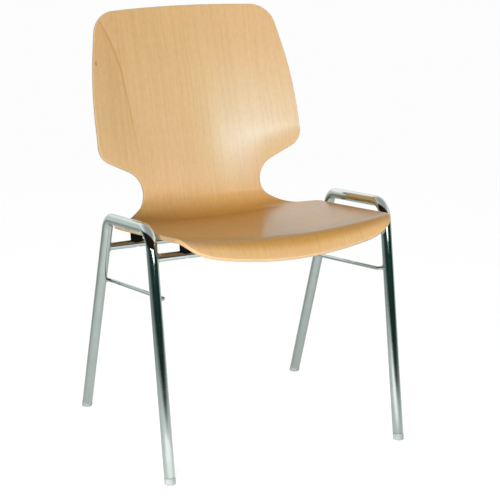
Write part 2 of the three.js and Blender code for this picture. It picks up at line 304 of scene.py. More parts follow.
# ---- shell ----------------------------------------------------------------------------------------
profile = fillet([LIP_END, CROWN, HEEL, BACK_TOP], [0, CROWN_R, HEEL_R, 0], steps=60)
profile_lengths = lengths_along(profile)
SHELL_LENGTH = profile_lengths[-1]

BACK_SIDE = ((BACK_LOW[0] + TOP_HALF) / 2 + BACK_BULGE, (BACK_LOW[1] + SHELL_LENGTH) / 2)
outline = fillet(
    [
        (0, 0), (FRONT_HALF, 0), SHOULDER, SEAT_SIDE, SEAT_REAR, WAIST, BACK_LOW, BACK_SIDE,
        (TOP_HALF, SHELL_LENGTH), (0, SHELL_LENGTH),
    ],
    [
        0, FRONT_CORNER_R, SHOULDER_R, SEAT_SIDE_R, SEAT_REAR_R, WAIST_R, BACK_LOW_R, BACK_SIDE_R,
        TOP_CORNER_R, 0,
    ],
)


def profile_at(s):
    """The profile's y, z at length s; past either end it runs on straight."""
    inside = np.clip(s, 0, SHELL_LENGTH)
    first = unit(profile[1] - profile[0])
    last = unit(profile[-1] - profile[-2])
    beyond = np.maximum(s - SHELL_LENGTH, 0)
    before = np.minimum(s, 0)
    y = np.interp(inside, profile_lengths, profile[:, 0]) + beyond * last[0] + before * first[0]
    z = np.interp(inside, profile_lengths, profile[:, 1]) + beyond * last[1] + before * first[1]
    return y, z


def shell_points(x, s, depth):
    """Points of the shell at x and pattern length s, depth below its upper face."""
    top_reach = np.clip((s - BACK_LOW[1]) / (SHELL_LENGTH - BACK_LOW[1]), 0, 1)
    front_reach = np.clip(1 - s / FRONT_BOW_REACH, 0, 1)
    run = s + TOP_BOW * top_reach * (1 - (x / TOP_HALF) ** 2)
    run = run - FRONT_BOW * front_reach * (1 - (x / FRONT_HALF) ** 2)
    y, z = profile_at(run)
    # The profile's direction, taken over a short length so that the bends turn smoothly.
    reach = 4
    y0, z0 = profile_at(run - reach)
    y1, z1 = profile_at(run + reach)
    size = np.hypot(y1 - y0, z1 - z0)
    ty = (y1 - y0) / size
    tz = (z1 - z0) / size
    seat_dish = DISH_FRONT + (DISH_SEAT - DISH_FRONT) * np.clip(s / DISH_SEAT_FROM, 0, 1)
    blend = np.clip((s - DISH_BACK_START) / DISH_BACK_RUN, 0, 1)
    blend = blend * blend * (3 - 2 * blend)
    dish = seat_dish + (DISH_BACK - seat_dish) * blend
    lift = dish * (x / DISH_AT) ** 2 - depth
    return np.stack([x, y - tz * lift, z + ty * lift], axis=-1)


def side_normals(side):
    """Directions out of the flat pattern along one side of its outline, from front to top."""
    along = np.gradient(side, axis=0)
    along /= np.linalg.norm(along, axis=1)[:, None]
    normals = np.stack([along[:, 1], -along[:, 0]], axis=1)
    normals[0] = (0, -1)
    normals[-1] = (0, 1)
    return normals


def grid_boundary(rows, columns):
    """Row, column pairs round the edge of a grid: front, right side, top, left side."""
    loop = [(0, c) for c in range(columns)]
    loop += [(r, columns) for r in range(rows - 1)]
    loop += [(rows - 1, c) for c in range(columns, 0, -1)]
    loop += [(r, 0) for r in range(rows - 1, 0, -1)]
    return loop


def edge_steps():
    """For each ring of points down the edge, its share of the way out and its depth."""
    turns = np.linspace(0, math.pi / 2, EDGE_TURNS + 1)[1:]
    rounded = [(math.sin(t), EDGE_ROUND * (1 - math.cos(t))) for t in turns]
    flat = [(1.0, depth) for depth in np.linspace(EDGE_ROUND, PLY - EDGE_ROUND, EDGE_LEVELS)[1:-1]]
    return rounded + flat + [(out, PLY - depth) for out, depth in reversed(rounded)]


def build_shell(material):
    """The moulded shell: one fine grid a face, and an edge rounded over on both sides."""
    side = resample(outline[1:-1], SHELL_STEP)
    normals = side_normals(side)
    inner = side - normals * EDGE_ROUND
    rows = len(side)
    width = SHELL_COLUMNS + 1
    even = np.linspace(-1, 1, SHELL_COLUMNS - 1)
    grid_x = np.array([
        np.concatenate([[-half], even * (half - SHELL_RIM), [half]]) for half in inner[:, 0]
    ])
    grid_s = np.repeat(inner[:, 1][:, None], width, axis=1)
    size = grid_x.size

    pattern = []
    faces = []
    for depth in (0.0, PLY):
        pattern.append(np.column_stack([grid_x.ravel(), grid_s.ravel(), np.full(size, depth)]))
    for r in range(rows - 1):
        for c in range(SHELL_COLUMNS):
            a = r * width + c
            faces.append((a, a + 1, a + 1 + width, a + width))
            faces.append((size + a, size + a + width, size + a + 1 + width, size + a + 1))

    loop = grid_boundary(rows, SHELL_COLUMNS)
    base = np.array([(grid_x[r, c], grid_s[r, c]) for r, c in loop])
    outward = np.array([normals[r] * (-1 if c == 0 else 1, 1) for r, c in loop])
    rings = [[r * width + c for r, c in loop]]
    start = 2 * size
    for out, depth in edge_steps():
        flat = base + outward * EDGE_ROUND * out
        pattern.append(np.column_stack([flat, np.full(len(flat), depth)]))
        rings.append(range(start, start + len(loop)))
        start += len(loop)
    rings.append([size + index for index in rings[0]])
    for upper, lower in zip(rings, rings[1:]):
        for i in range(len(loop)):
            j = (i + 1) % len(loop)
            faces.append((upper[i], lower[i], lower[j], upper[j]))
    pattern = np.concatenate(pattern)
    points = shell_points(pattern[:, 0], pattern[:, 1], pattern[:, 2])
    return make_piece(
        "shell", points, faces, material, "seat_shell", sharp=60, pattern=pattern
    )


# ---- side frames ----------------------------------------------------------------------------------
def leg_point(foot, corner, z):
    """The y, z point of a leg's axis at height z."""
    return np.array([foot + (corner[0] - foot) * z / corner[1], z])


def front_leg(z):
    return leg_point(FOOT_FRONT_Y, CORNER_FRONT, z)


def rear_leg(z):
    return leg_point(FOOT_REAR_Y, CORNER_REAR, z)


def build_side_frame(label, side, material):
    """One bent tube, hollow, from the rear foot over the rail to the front foot."""
    line = fillet(
        [rear_leg(TUBE_END_Z), CORNER_REAR, CORNER_FRONT, front_leg(TUBE_END_Z)],
        [0, BEND_R, BEND_R, 0],
    )
    line = resample(line, TUBE_STEP)
    path = np.column_stack([np.full(len(line), side * FRAME_X), line])
    outer = sweep_rings(path, TUBE_R, TUBE_SIDES)
    bore = sweep_rings(path, TUBE_R - TUBE_WALL, TUBE_SIDES)[::-1]
    # A small chamfer where the tube is sawn off at each foot.
    narrow = sweep_rings(path, TUBE_R - TUBE_CHAMFER, TUBE_SIDES)
    near = unit(path[1] - path[0]) * TUBE_CHAMFER
    far = unit(path[-2] - path[-1]) * TUBE_CHAMFER
    outer = [narrow[0]] + [outer[0] + near] + outer[1:-1] + [outer[-1] + far] + [narrow[-1]]
    points, faces = loft(outer + bore, wrap=True)
    make_piece(
        f"frame_{label}", points, faces, material, f"side_frame_{label}"
    )


# ---- pieces that meet a leg -----------------------------------------------------------------------
FRONT_LINE = unit(np.array([CORNER_FRONT[0] - FOOT_FRONT_Y, CORNER_FRONT[1]]))
REAR_LINE = unit(np.array([CORNER_REAR[0] - FOOT_REAR_Y, CORNER_REAR[1]]))


def across_leg(offset, line):
    """How far a y, z offset from a leg's axis lies across it."""
    return offset[..., 0] * line[1] - offset[..., 1] * line[0]


def from_leg_axis(point, side, foot, line):
    """A point's distance from the axis of a leg that goes through the y, z point foot."""
    return math.hypot(across_leg(point[1:] - foot, line), point[0] - side * FRAME_X)


def bar_ring(radius, row, line, side, sides, gap=0.0):
    """The ring where a cross tube of this radius meets the leg."""
    angles = circle(sides)
    offset = radius * np.stack([np.cos(angles), np.sin(angles)], axis=1)
    reach = np.sqrt(np.maximum(TUBE_R ** 2 - across_leg(offset, line) ** 2, 0))
    return np.column_stack([side * (FRAME_X - reach - gap), row + offset])


def bead(ring, centre, axis, radius, ripples, depth, sides=10):
    """A weld bead laid along a closed ring; its size ripples a little from stop to stop."""
    count = len(ring)
    turn = circle(sides)
    rings = []
    for i in range(count):
        tangent = unit(ring[(i + 1) % count] - ring[i - 1])
        outward = ring[i] - centre
        outward = unit(outward - axis * (outward @ axis))
        up = unit(np.cross(tangent, outward))
        beat = (ripples * i / count) % 1.0
        size = radius * (1 + depth * (abs(2 * beat - 1) - 0.5))
        rings.append(ring[i] + size * (np.outer(np.cos(turn), outward) + np.outer(np.sin(turn), up)))
    return loft(rings, wrap=True)


def fixing_matrix(x, row):
    """Maps a fixing's own frame, its axis square to the seat, into the millimetre frame."""
    slope = math.atan2(CROWN[1] - HEEL[1], HEEL[0] - CROWN[0])
    return Matrix.Translation((x, row[0], row[1])) @ Matrix.Rotation(-slope, 4, "X")


def cutter(radius, low, high, matrix):
    """A cylinder on a fixing's axis, to cut a hole with."""
    points, faces = loft(turned([(radius, low), (radius, high)], 40))
    mesh = bpy.data.meshes.new("cutter")
    mesh.from_pydata(to_frame(apply_matrix(points, matrix)).tolist(), [], faces)
    finish_mesh(mesh)
    return bpy.data.objects.new("cutter", mesh)


def cut_away(piece, tools):
    """Subtracts each tool from the piece and removes the tool."""
    for tool in tools:
        scene.collection.objects.link(tool)
        modifier = piece.modifiers.new("cut", "BOOLEAN")
        modifier.operation = "DIFFERENCE"
        modifier.solver = "EXACT"
        modifier.object = tool
    bpy.context.view_layer.update()
    depsgraph = bpy.context.evaluated_depsgraph_get()
    cut = bpy.data.meshes.new_from_object(piece.evaluated_get(depsgraph), depsgraph=depsgraph)
    piece.modifiers.clear()
    old = piece.data
    piece.data = cut
    bpy.data.meshes.remove(old)
    finish_mesh(cut)
    for tool in tools:
        mesh = tool.data
        bpy.data.objects.remove(tool)
        bpy.data.meshes.remove(mesh)


def build_cross_tube(place, row, line, material, weld_material):
    """A hollow tube between the two frames, holed for its fixings, with a weld bead at each end."""
    bore = BAR_R - BAR_WALL
    start_out, end_out = (bar_ring(BAR_R, row, line, side, TUBE_SIDES) for side in (-1, 1))
    start_in, end_in = (bar_ring(bore, row, line, side, TUBE_SIDES) for side in (-1, 1))
    share = np.linspace(0, 1, BAR_STOPS)
    rings = [start_out + (end_out - start_out) * t for t in share]
    rings += [end_in + (start_in - end_in) * t for t in share]
    points, faces = loft(rings, wrap=True)
    bar = make_piece(
        f"cross_bar_{place}", points, faces, material, f"cross_tube_{place}"
    )
    past_wall = 20
    tools = []
    for side in (-1, 1):
        matrix = fixing_matrix(side * FIXING_X, row)
        tools.append(cutter(HOLE_R, 0, past_wall, matrix))
        tools.append(cutter(ACCESS_R, -past_wall, 0, matrix))
    cut_away(bar, tools)
    axis = np.array([1.0, 0.0, 0.0])
    # Each bead lies in the corner between the tube and the leg.
    for label, side in SIDES:
        ring = bar_ring(BAR_R + 0.25, row, line, side, sides=120, gap=0.35)
        centre = np.array([side * FRAME_X, row[0], row[1]])
        points, faces = bead(ring, centre, axis, radius=1.35, ripples=26, depth=0.35)
        make_piece(f"weld_bar_{place}_{label}", points, faces, weld_material, None)


def slid_to_leg(point, axis, side, foot, line):
    """The point moved along the axis until it is just outside the leg's surface."""
    just_outside = TUBE_R + 0.15
    low = -12.0
    high = 8.0
    for _ in range(40):
        middle = (low + high) / 2
        if from_leg_axis(point + axis * middle, side, foot, line) > just_outside:
            low = middle
        else:
            high = middle
    return point + axis * low


def build_side_rod(label, side, material, weld_material):
    """The thin rod between the legs of one side, its ends bent outward to meet them, and its welds."""
    front = front_leg(ROD_FRONT_Z + ROD_END_RISE)
    rear = rear_leg(ROD_REAR_Z + ROD_END_RISE)
    corners = [
        (side * FRAME_X, front[0], front[1]),
        (side * ROD_X, front[0] + ROD_FRONT_SET_IN, ROD_FRONT_Z),
        (side * ROD_X, rear[0] - ROD_REAR_SET_IN, ROD_REAR_Z),
        (side * FRAME_X, rear[0] + ROD_REAR_RUN_ON, rear[1]),
    ]
    path = resample(fillet(corners, [0, ROD_BEND_R, ROD_BEND_R, 0], steps=24), ROD_STEP)
    # The ends stop just inside the legs' walls.
    legs = ((front, FRONT_LINE), (rear, REAR_LINE))
    path = np.array([
        point for point in path
        if all(from_leg_axis(point, side, foot, line) > TUBE_R - 1.0 for foot, line in legs)
    ])
    rings = sweep_rings(path, ROD_R, ROD_SIDES)
    points, faces = loft(rings)
    make_piece(f"rod_{label}", points, faces, material, f"side_rod_{label}")
    for place, end, inner, foot, line in (
        ("front", 0, 1, front, FRONT_LINE), ("rear", -1, -2, rear, REAR_LINE),
    ):
        axis = unit(path[end] - path[inner])
        centre = path[end]
        # The bead's own line is a little wider than the rod.
        grown = centre + (rings[end] - centre) * 1.12
        landed = [slid_to_leg(point, axis, side, foot, line) for point in grown]
        ring = resample(np.vstack([landed, landed[:1]]), 0.32)[:-1]
        points, faces = bead(ring, centre, axis, radius=1.05, ripples=13, depth=0.4)
        make_piece(f"weld_rod_{place}_{label}", points, faces, weld_material, None)


# ---- fixings --------------------------------------------------------------------------------------
def make_fine(kind, where, rings, matrix, material, sharp=SHARP, wrap=True):
    """A finer piece in place of a small CAD node of the same name, from rings in its own frame."""
    points, faces = loft(rings, wrap)
    make_piece(
        f"{kind}_{where}.fine", apply_matrix(points, matrix), faces, material,
        f"{kind}_{where}", sharp,
    )


def build_spacer(where, matrix, height_at, material):
    """A spacer saddled on the bar below and shaped to the shell above, with softened rims."""
    around = circle(60)
    bottom = BAR_R - SPACER_SKIRT

    def ring(radius, inset, top):
        x = radius * np.cos(around)
        y = radius * np.sin(around)
        if top:
            z = np.array([height_at(*spot) for spot in zip(x, y)]) - SPACER_FIT - inset
        else:
            saddle = np.sqrt(np.maximum(0.0, (BAR_R + SPACER_FIT) ** 2 - y ** 2))
            z = np.maximum(bottom, saddle) + inset
        return np.column_stack([x, y, z])

    softened = 0.9
    rings = [ring(r, 0, False) for r in np.linspace(HOLE_R, SPACER_R - softened, 12)]
    rings += [ring(SPACER_R - 0.3, 0.25, False), ring(SPACER_R, softened, False)]
    low = rings[-1]
    high = ring(SPACER_R, softened, True)
    rings += [low + (high - low) * t for t in (0.33, 0.66)]
    rings += [high, ring(SPACER_R - 0.3, 0.25, True)]
    rings += [ring(r, 0, True) for r in np.linspace(SPACER_R - softened, HOLE_R, 6)]
    make_fine("spacer", where, rings, matrix, material, sharp=50)


def build_washer(where, matrix, material):
    """A washer with rolled edges, inside the bar."""
    levels = [
        (HOLE_R, WASHER_LOW + 0.1), (HOLE_R + 0.1, WASHER_LOW), (WASHER_R - 0.15, WASHER_LOW),
        (WASHER_R, WASHER_LOW + 0.15), (WASHER_R, WASHER_TOP - 0.15), (WASHER_R - 0.15, WASHER_TOP),
        (HOLE_R + 0.1, WASHER_TOP), (HOLE_R, WASHER_TOP - 0.1),
    ]
    make_fine("washer", where, turned(levels, 40), matrix, material)


def build_screw(where, matrix, height, material):
    """A screw with a hexagonal recess in its head and a threaded shank up into the insert."""
    sides = 48
    around = circle(sides)
    fold = (around + math.pi / 6) % (math.pi / 3) - math.pi / 6
    hexagon = SOCKET_HALF / np.cos(fold)
    seat = WASHER_LOW - CLEAR
    face = seat - HEAD_HEIGHT
    tip = height + INSERT_LENGTH - 1
    levels = [
        (0.25, face + 2.0), (hexagon * 0.97, face + 1.8), (hexagon, face + 0.25),
        (hexagon * 1.08, face), (HEAD_R - 0.75, face), (HEAD_R - 0.2, face + 0.25),
        (HEAD_R, face + 0.8), (HEAD_R, seat - 0.15), (HEAD_R - 0.15, seat), (SCREW_R + 0.05, seat),
    ]
    z = seat + CLEAR
    while z < tip - 0.8:
        turn = (z / THREAD_PITCH - around / (2 * math.pi)) % 1.0
        levels.append((SCREW_R - THREAD_DEPTH * np.abs(2 * turn - 1), z))
        z += THREAD_PITCH / 8
    levels += [(SCREW_R - 0.9, tip - 0.2), (0.3, tip)]
    make_fine("screw", where, turned(levels, sides), matrix, material, 40, wrap=False)


def build_insert(where, matrix, height, material):
    """A sleeve with a knurled outside in two bands, pressed into the shell."""
    sides = 72
    base = height + CLEAR
    knurled = INSERT_R - KNURL * (np.arange(sides) % 2)
    plain = INSERT_R - 0.3
    levels = [
        (HOLE_R, base), (plain, base), (knurled, base + 0.4), (knurled, base + 2.8),
        (plain, base + 3.0), (plain, base + 3.6), (knurled, base + 3.8), (knurled, base + 6.2),
        (plain, base + INSERT_LENGTH), (HOLE_R, base + INSERT_LENGTH),
    ]
    make_fine("insert", where, turned(levels, sides), matrix, material, sharp=20)


def build_fixing(where, x, row, shell_tree, plastic, zinc):
    """The spacer, washer, screw and insert on one axis through a cross tube and the shell."""
    matrix = fixing_matrix(x, row)
    axis = matrix.to_3x3() @ Vector((0, 0, 1))

    def height_at(local_x, local_y):
        """Height of the shell's underside over a point level with the bar's axis."""
        start = to_frame(apply_matrix(np.array([local_x, local_y, 0.0]), matrix))
        return shell_tree.ray_cast(Vector(start), axis)[3] / MM

    height = height_at(0.0, 0.0)
    build_spacer(where, matrix, height_at, plastic)
    build_washer(where, matrix, zinc)
    build_screw(where, matrix, height, zinc)
    build_insert(where, matrix, height, zinc)


# ---- glides ---------------------------------------------------------------------------------------
def build_glide(where, side, foot, corner, material):
    """A plug on the leg's own axis, its foot flat on the floor with a rounded rim."""
    lean = math.atan2(corner[0] - foot, corner[1])
    end = TUBE_END_Z / math.cos(lean)
    pin = TUBE_R - TUBE_WALL - CLEAR
    rotation = np.array(Matrix.Rotation(-lean, 3, "X"))
    origin = np.array([side * FRAME_X, foot, 0.0])
    direction = rotation @ np.array([0.0, 0.0, 1.0])

    def on_leg(radius, height):
        return turned([(radius, height)], TUBE_SIDES)[0] @ rotation.T + origin

    def on_floor(radius, height):
        """The leg's own ring slid down along the leg until it is level at this height."""
        ring = on_leg(radius, 0.0)
        return ring + direction * ((height - ring[:, 2]) / direction[2])[:, None]

    rings = [on_floor(r, 0.0) for r in (1.5, 5.0, 8.0, GLIDE_R - GLIDE_RIM)]
    for t in np.linspace(0.3, math.pi / 2, 6):
        rings.append(on_floor(GLIDE_R - GLIDE_RIM * (1 - math.sin(t)), GLIDE_RIM * (1 - math.cos(t))))
    rings += [on_floor(GLIDE_R, 2 * GLIDE_RIM), on_leg(GLIDE_R, end - 2.2)]
    bend = end - CLEAR - GLIDE_SHOULDER
    for t in np.linspace(0.0, math.pi / 2, 5):
        radius = GLIDE_R - GLIDE_SHOULDER * (1 - math.cos(t))
        rings.append(on_leg(radius, bend + GLIDE_SHOULDER * math.sin(t)))
    rings += [on_leg(pin, end - CLEAR), on_leg(pin, end + 1.0)]
    for k in range(GLIDE_BARBS):
        start = end + 2.5 + 4.0 * k
        rings += [on_leg(pin - 0.5, start), on_leg(pin, start + 0.6), on_leg(pin - 0.5, start + 2.4)]
    tip = end + GLIDE_PIN_LENGTH
    rings += [on_leg(pin - 2, tip), on_leg(1.0, tip)]
    make_fine("glide", where, rings, Matrix.Identity(4), material, 50, wrap=False)


# ---- node shorthand -------------------------------------------------------------------------------
class Nodes:
    """A little shorthand over the node tree of one new material or world."""

    def __init__(self, owner, shader="Principled BSDF"):
        owner.use_nodes = True
        self.owner = owner
        self.tree = owner.node_tree
        self.shader = self.tree.nodes[shader]

    def add(self, kind, inputs=None, **settings):
        """A new node with these inputs set or linked, and these settings."""
        node = self.tree.nodes.new(kind)
        for key, value in settings.items():
            setattr(node, key, value)
        for key, value in (inputs or {}).items():
            self.put(node.inputs[key], value)
        return node

    def put(self, socket, value):
        """Links another node's output to a socket, or sets the socket's own value."""
        if isinstance(value, bpy.types.NodeSocket):
            self.tree.links.new(value, socket)
        elif socket.type == "RGBA":
            socket.default_value = (*value, 1.0)
        else:
            socket.default_value = value

    def surface(self, inputs):
        """Sets or links inputs of the main shader."""
        for key, value in inputs.items():
            self.put(self.shader.inputs[key], value)

    def place(self):
        """The point's place in the object's own space."""
        return self.add("ShaderNodeTexCoord").outputs["Object"]

    def math(self, operation, a, b=0.0):
        return self.add("ShaderNodeMath", {0: a, 1: b}, operation=operation).outputs[0]

    def ramp(self, factor, stops, interpolation="LINEAR"):
        node = self.add("ShaderNodeValToRGB", {"Fac": factor})
        ramp = node.color_ramp
        ramp.interpolation = interpolation
        while len(ramp.elements) < len(stops):
            ramp.elements.new(0.5)
        for element, (position, colour) in zip(ramp.elements, stops):
            element.position = position
            if isinstance(colour, (int, float)):
                colour = (colour, colour, colour)
            element.color = (*colour, 1.0)
        return node.outputs["Color"]

    def between(self, noise, colours, low=0.3, high=0.7):
        """From the first colour to the second over a noise's usual span."""
        return self.ramp(noise, [(low, colours[0]), (high, colours[1])])

    def spread(self, value, to_low, to_high, span=(0.3, 0.7), interpolation="LINEAR"):
        """A number from to_low to to_high as the value crosses the span."""
        return self.add(
            "ShaderNodeMapRange",
            {
                "Value": value, "From Min": span[0], "From Max": span[1],
                "To Min": to_low, "To Max": to_high,
            },
            interpolation_type=interpolation,
        ).outputs[0]

    def mix(self, factor, a, b, blend="MIX"):
        node = self.add("ShaderNodeMix", data_type="RGBA", blend_type=blend)
        # Of the sockets that a mix node has, these are its factor and its two colours.
        for socket, value in ((0, factor), (6, a), (7, b)):
            self.put(node.inputs[socket], value)
        return node.outputs[2]

    def tinted(self, colour, tint, factor=1.0):
        """The colour times the tint, as far as the factor says."""
        return self.mix(factor, colour, tint, "MULTIPLY")

    def noise(self, vector, scale=1.0, detail=2.0, roughness=0.5):
        return self.add(
            "ShaderNodeTexNoise",
            {"Vector": vector, "Scale": scale, "Detail": detail, "Roughness": roughness},
        ).outputs[0]

    def stretched(self, vector, scale, offset=(0.0, 0.0, 0.0)):
        node = self.add("ShaderNodeMapping", {"Vector": vector, "Scale": scale, "Location": offset})
        return node.outputs[0]

    def size(self, vector):
        return self.add("ShaderNodeVectorMath", {0: vector}, operation="LENGTH").outputs["Value"]

    def bump(self, height, strength, distance, normal=None):
        inputs = {"Height": height, "Strength": strength, "Distance": distance}
        if normal is not None:
            inputs["Normal"] = normal
        return self.add("ShaderNodeBump", inputs).outputs[0]


# ---- beech ----------------------------------------------------------------------------------------
# A pair holds the two tones that a figure varies between. A tint multiplies what is under it.
VENEER = ((0.700, 0.427, 0.205), (0.730, 0.456, 0.227))
WARM_COOL = ((1.01, 0.99, 1.015), (0.995, 1.01, 0.98))
STREAK_TONES = [(0.32, (0.95, 0.93, 0.89)), (0.5, 1.0), (0.68, (1.02, 1.03, 1.05))]
HAIR_TONES = ((0.965, 0.95, 0.93), 1.01)
SHIMMER = ((0.975, 0.965, 0.95), (1.02, 1.025, 1.03))
LONG_PLY = ((0.66, 0.43, 0.22), (0.76, 0.53, 0.30))
END_PLY = ((0.50, 0.29, 0.13), (0.62, 0.39, 0.19))
GLUE = (0.36, 0.20, 0.09)
# A glue line starts this share of a ply's thickness from the ply's middle.
GLUE_HALF = 0.44
PLIES = 7

# The seat's reach goes by the share of the shell's length, the other reaches by metres along it.
# Painted shade: the seat and the turn into the back are darkened to a deep honey, for the dim light they
# get.
SEAT_SHADE_TINT = (0.93, 0.65, 0.22)
SEAT_SHADE_REACH = [(0.0, 0.1), (0.015, 0.4), (0.035, 1.0), (0.46, 1.0), (0.58, 0.0)]
# Painted shade: the rolled front of the seat is darkened and turned a little bluer.
ROLL_SHADE_TINT = (0.78, 0.86, 1.1)
ROLL_SHADE_REACH = [(0.012, 0.0), (0.03, 1.0), (0.06, 1.0), (0.1, 0.0)]
# Painted shade: the top of the back is a little darker and warmer.
CREST_SHADE_TINT = (0.945, 0.90, 0.81)
CREST_SHADE_REACH = [(0.6, 0.0), (0.8, 1.0)]
# Painted shade: under the seat the veneer is darkened and cooled, behind the back only a little darker.
UNDERSIDE_SHADE_TINTS = [(0.38, (0.60, 0.66, 0.78)), (0.52, (0.95, 0.93, 0.90))]
# How far the figure moves sideways for each unit of depth.
LEAF_SHIFT = 40.0

# The growth line starts at an x, s point, leans outward and bends further out above LINE_BEND.
LINE = (0.84, 0.74, 0.58)
LINE_START = (-134.0, 515.0)
LINE_LEAN = 0.1
LINE_BEND = 690.0
LINE_CURVE = 1.7
LINE_WIDTH = 9.0
# Painted shade over the back beyond the growth line, towards its edge.
OUTSIDE_LINE_SHADE = (0.945, 0.92, 0.86)

# The pin knot's x, s point, and the ray flecks' colour.
KNOT = (-214.0, 731.0)
KNOT_STRETCH = 0.45
KNOT_SIZE = 4.0
KNOT_COLOUR = (0.30, 0.13, 0.05)
FLECK = (0.46, 0.25, 0.10)


def veneer_figure(n, grain):
    """The colour of a leaf of veneer, and the streaks and hairlines that its surface shows too."""
    # Scales count the features in a metre across and along the sheet.
    wide = n.noise(n.stretched(grain, (16.0, 1.5, 1.0)), detail=3.0, roughness=0.55)
    warm = n.noise(n.stretched(grain, (9.0, 4.0, 1.0), (3.1, 1.7, 0.0)))
    streak = n.noise(n.stretched(grain, (205.0, 2.2, 1.0)), detail=3.0, roughness=0.6)
    hair = n.noise(n.stretched(grain, (600.0, 14.0, 1.0)), roughness=0.6)
    mottle = n.noise(n.stretched(grain, (150.0, 75.0, 1.0)), roughness=0.6)
    colour = n.between(wide, VENEER)
    colour = n.tinted(colour, n.between(warm, WARM_COOL, 0.35, 0.65))
    colour = n.tinted(colour, n.ramp(streak, STREAK_TONES))
    colour = n.tinted(colour, n.between(hair, HAIR_TONES, 0.3, 0.6))
    colour = n.tinted(colour, n.between(mottle, SHIMMER, 0.35, 0.65))
    return colour, streak, hair


def painted_shade_along(n, colour, along):
    """Painted shade along the shell: the seat and the turn into the back darkened to honey, the front roll
    darker, and the top a little deeper.
    """
    share = n.math("MULTIPLY", along, 1.0 / (MM * SHELL_LENGTH))
    colour = n.tinted(colour, SEAT_SHADE_TINT, n.ramp(share, SEAT_SHADE_REACH, "EASE"))
    colour = n.tinted(colour, ROLL_SHADE_TINT, n.ramp(along, ROLL_SHADE_REACH, "EASE"))
    return n.tinted(colour, CREST_SHADE_TINT, n.ramp(along, CREST_SHADE_REACH, "EASE"))


def growth_line(n, colour, across, along, front):
    """One dark growth line down the back, on the right-hand side of someone sitting, and painted shade
    over the back beyond it, towards that edge.
    """
    length = n.math("SUBTRACT", along, MM * LINE_START[1])
    bend = n.math("MAXIMUM", n.math("SUBTRACT", along, MM * LINE_BEND), 0.0)
    bend = n.math("MULTIPLY", n.math("POWER", bend, 2.0), LINE_CURVE)
    line_at = n.math("ADD", n.math("MULTIPLY", length, LINE_LEAN), bend)
    beside = n.math("SUBTRACT", n.math("ADD", across, line_at), MM * LINE_START[0])
    line = n.ramp(
        n.math("ADD", n.math("MULTIPLY", beside, 1.0 / (MM * LINE_WIDTH)), 0.5),
        [(0.0, 0.0), (0.42, 0.75), (0.5, 1.0), (0.62, 0.0)],
    )
    reach = n.ramp(n.math("MULTIPLY", length, 3.0), [(0.0, 0.0), (0.25, 0.55), (0.8, 1.0)])
    colour = n.tinted(colour, LINE, n.math("MULTIPLY", n.math("MULTIPLY", line, reach), front))
    # Painted shade: beyond the line, towards the edge, the back is darker.
    outside = n.math("LESS_THAN", beside, 0.0)
    outside = n.math("MULTIPLY", outside, n.ramp(length, [(0.0, 0.0), (0.1, 1.0)]))
    return n.tinted(colour, OUTSIDE_LINE_SHADE, n.math("MULTIPLY", outside, front))


def pin_knot(n, colour, pattern, front):
    """A small pin knot beside the growth line, longer than it is wide."""
    shift = (-MM * KNOT[0], -MM * KNOT[1] * KNOT_STRETCH, 0.0)
    from_knot = n.size(n.stretched(pattern, (1.0, KNOT_STRETCH, 0.0), shift))
    knot = n.math("MULTIPLY", from_knot, 1.0 / (MM * KNOT_SIZE))
    knot = n.math("MULTIPLY", n.ramp(knot, [(0.2, 0.75), (0.7, 0.0)], "EASE"), front)
    return n.mix(knot, colour, KNOT_COLOUR)


def ray_flecks(n, colour, grain):
    """Beech's short dark ray flecks, thicker in some places than in others."""
    cells = n.add(
        "ShaderNodeTexVoronoi",
        {"Vector": n.stretched(grain, (900.0, 190.0, 1.0)), "Scale": 1.0},
        feature="F1",
    ).outputs["Distance"]
    fleck = n.ramp(cells, [(0.06, 1.0), (0.22, 0.0)])
    where = n.between(n.noise(n.stretched(grain, (60.0, 14.0, 1.0))), (0.0, 0.4), 0.45, 0.62)
    return n.mix(n.tinted(fleck, where), colour, FLECK)


def sawn_edge(n, pattern, depth):
    """Plies of crossed grain between thin glue lines."""
    ply = n.math("MULTIPLY", depth, PLIES / (MM * PLY))
    odd = n.math("GREATER_THAN", n.math("FRACT", n.math("MULTIPLY", ply, 0.5)), 0.5)
    long_grain = n.noise(n.stretched(pattern, (60.0, 60.0, 900.0)), detail=3.0)
    end_grain = n.noise(n.stretched(pattern, (900.0, 900.0, 900.0)))
    edge = n.mix(odd, n.between(long_grain, LONG_PLY), n.between(end_grain, END_PLY))
    from_middle = n.math("ABSOLUTE", n.math("SUBTRACT", n.math("FRACT", ply), 0.5))
    return n.mix(n.math("LESS_THAN", from_middle, GLUE_HALF), GLUE, edge)


